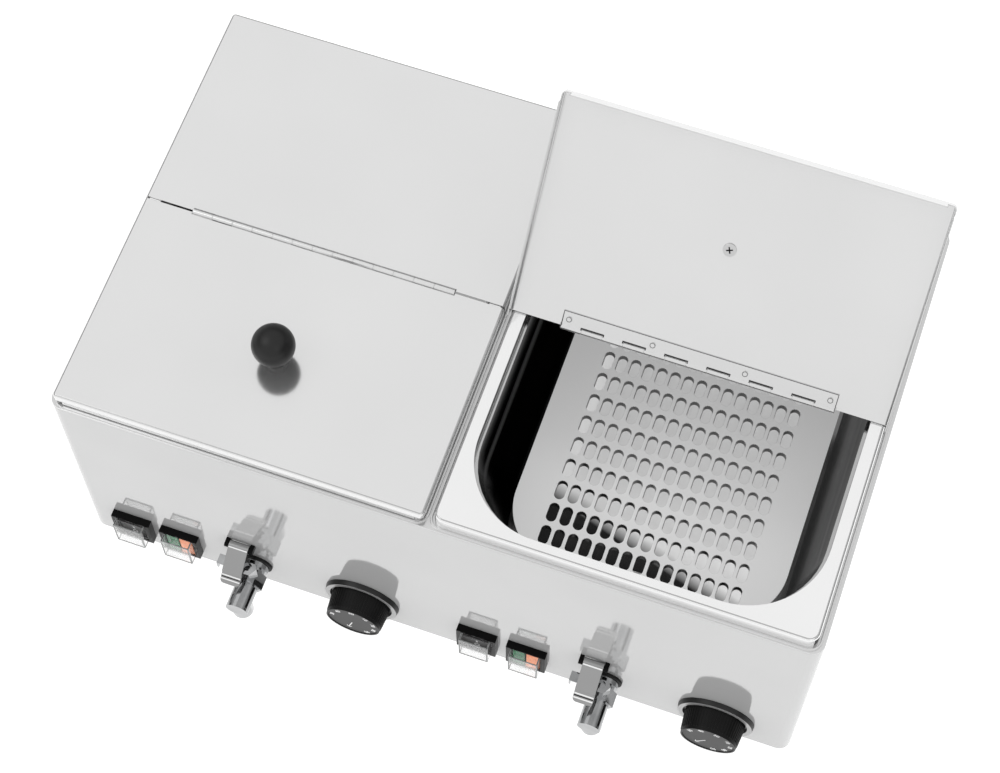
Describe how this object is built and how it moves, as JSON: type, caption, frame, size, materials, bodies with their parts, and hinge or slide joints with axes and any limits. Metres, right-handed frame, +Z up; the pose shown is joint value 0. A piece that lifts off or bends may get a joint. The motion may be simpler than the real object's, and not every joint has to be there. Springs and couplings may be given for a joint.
{
  "type": "hot dog steamer",
  "caption": "Countertop steamer with twin water wells, hinged half lids, perforated trays, drain taps, switches and thermostat knobs.",
  "frame": {"origin": "on the table, under the middle of the space that the housing, its spouts and its cable gland take up", "axes": "+X to the right seen from the front, -Y towards the front with the controls, +Z up"},
  "size_m": [0.5448, 0.3894, 0.3658],
  "materials": {
    "housing_steel": "satin",
    "deck_steel": "satin",
    "basin_steel": "polished",
    "tray_steel": "satin",
    "lid_steel": "satin",
    "hinge_steel": "satin",
    "plain_steel": "satin",
    "heater_metal": "matt",
    "tap_chrome": "polished",
    "lever_steel": "brushed",
    "knob_black": "matt",
    "dial_black": "satin",
    "switch_black": "satin",
    "rocker_black": "satin",
    "ball_black": "satin",
    "clear_cover": "clear",
    "green_lens": "gloss",
    "orange_lens": "gloss",
    "gasket_rubber": "matt",
    "foot_rubber": "matt",
    "gland_plastic": "matt",
    "ceramic_body": "matt"
  },
  "bodies": {
    "chassis": {"housing_shell": "housing_steel", "rear_panel": "housing_steel", "base_plate": "plain_steel", "top_deck": "deck_steel", "feet": "foot_rubber", "panel_screws": "plain_steel", "terminal_block": "ceramic_body", "cable_gland": "gland_plastic", "heater_clamps": "plain_steel", "safety_cutouts": "ceramic_body", "drain_nuts": "hinge_steel", "tap_gaskets": "gasket_rubber", "left_basin": "basin_steel", "left_heater": "heater_metal", "left_thermostat": "ceramic_body", "left_dial_ring": "dial_black", "left_switch": "switch_black", "left_switch_cover": "clear_cover", "left_indicator": "switch_black", "left_green_lens": "green_lens", "left_orange_lens": "orange_lens", "left_indicator_cover": "clear_cover", "left_tap_body": "tap_chrome", "left_tap_pivot": "switch_black", "right_basin": "basin_steel", "right_heater": "heater_metal", "right_thermostat": "ceramic_body", "right_dial_ring": "dial_black", "right_switch": "switch_black", "right_switch_cover": "clear_cover", "right_indicator": "switch_black", "right_green_lens": "green_lens", "right_orange_lens": "orange_lens", "right_indicator_cover": "clear_cover", "right_tap_body": "tap_chrome", "right_tap_pivot": "switch_black"},
    "left_tray": {"left_tray": "tray_steel"},
    "left_lid_base": {"left_rear_lid": "lid_steel", "left_fixed_leaf": "hinge_steel", "left_hinge_pin": "hinge_steel"},
    "left_lid": {"left_front_lid": "lid_steel", "left_moving_leaf": "hinge_steel", "left_lid_knob": "ball_black", "left_knob_screw": "hinge_steel"},
    "left_knob": {"left_knob": "knob_black", "left_spindle": "plain_steel"},
    "left_rocker": {"left_rocker": "rocker_black"},
    "left_lever": {"left_tap_lever": "lever_steel"},
    "right_tray": {"right_tray": "tray_steel"},
    "right_lid_base": {"right_rear_lid": "lid_steel", "right_fixed_leaf": "hinge_steel", "right_hinge_pin": "hinge_steel"},
    "right_lid": {"right_front_lid": "lid_steel", "right_moving_leaf": "hinge_steel", "right_lid_knob": "ball_black", "right_knob_screw": "hinge_steel"},
    "right_knob": {"right_knob": "knob_black", "right_spindle": "plain_steel"},
    "right_rocker": {"right_rocker": "rocker_black"},
    "right_lever": {"right_tap_lever": "lever_steel"}
  },
  "joints": [
    {"name": "left_tray_lift", "type": "slide", "parent": "chassis", "child": "left_tray", "axis": [0, 0, 1], "range_m": [0, 0.095]},
    {"name": "left_lid_lift", "type": "slide", "parent": "chassis", "child": "left_lid_base", "axis": [0, 0, 1], "range_m": [0, 0.06]},
    {"name": "left_lid_hinge", "type": "hinge", "parent": "left_lid_base", "child": "left_lid", "pos_m": [-0.1353, 0.011, 0.23463], "axis": [-1, 0, 0], "range_deg": [0, 130.6]},
    {"name": "left_knob_turn", "type": "hinge", "parent": "chassis", "child": "left_knob", "pos_m": [-0.0543, -0.1547, 0.042], "axis": [0, 1, 0], "range_deg": [0, 270]},
    {"name": "left_rocker_tilt", "type": "hinge", "parent": "chassis", "child": "left_rocker", "pos_m": [-0.235, -0.1527, 0.0402], "axis": [1, 0, 0], "range_deg": [-16, 0]},
    {"name": "left_lever_lift", "type": "hinge", "parent": "chassis", "child": "left_lever", "pos_m": [-0.1466, -0.1586, 0.074], "axis": [-1, 0, 0], "range_deg": [0, 45]},
    {"name": "right_tray_lift", "type": "slide", "parent": "chassis", "child": "right_tray", "axis": [0, 0, 1], "range_m": [0, 0.095]},
    {"name": "right_lid_lift", "type": "slide", "parent": "chassis", "child": "right_lid_base", "axis": [0, 0, 1], "range_m": [0, 0.06]},
    {"name": "right_lid_hinge", "type": "hinge", "parent": "right_lid_base", "child": "right_lid", "pos_m": [0.1353, 0.011, 0.23463], "axis": [-1, 0, 0], "range_deg": [-130.6, 0]},
    {"name": "right_knob_turn", "type": "hinge", "parent": "chassis", "child": "right_knob", "pos_m": [0.2163, -0.1547, 0.042], "axis": [0, 1, 0], "range_deg": [-20, 250]},
    {"name": "right_rocker_tilt", "type": "hinge", "parent": "chassis", "child": "right_rocker", "pos_m": [0.0356, -0.1527, 0.0402], "axis": [1, 0, 0], "range_deg": [-16, 0]},
    {"name": "right_lever_lift", "type": "hinge", "parent": "chassis", "child": "right_lever", "pos_m": [0.124, -0.1586, 0.074], "axis": [-1, 0, 0], "range_deg": [0, 45]}
  ]
}
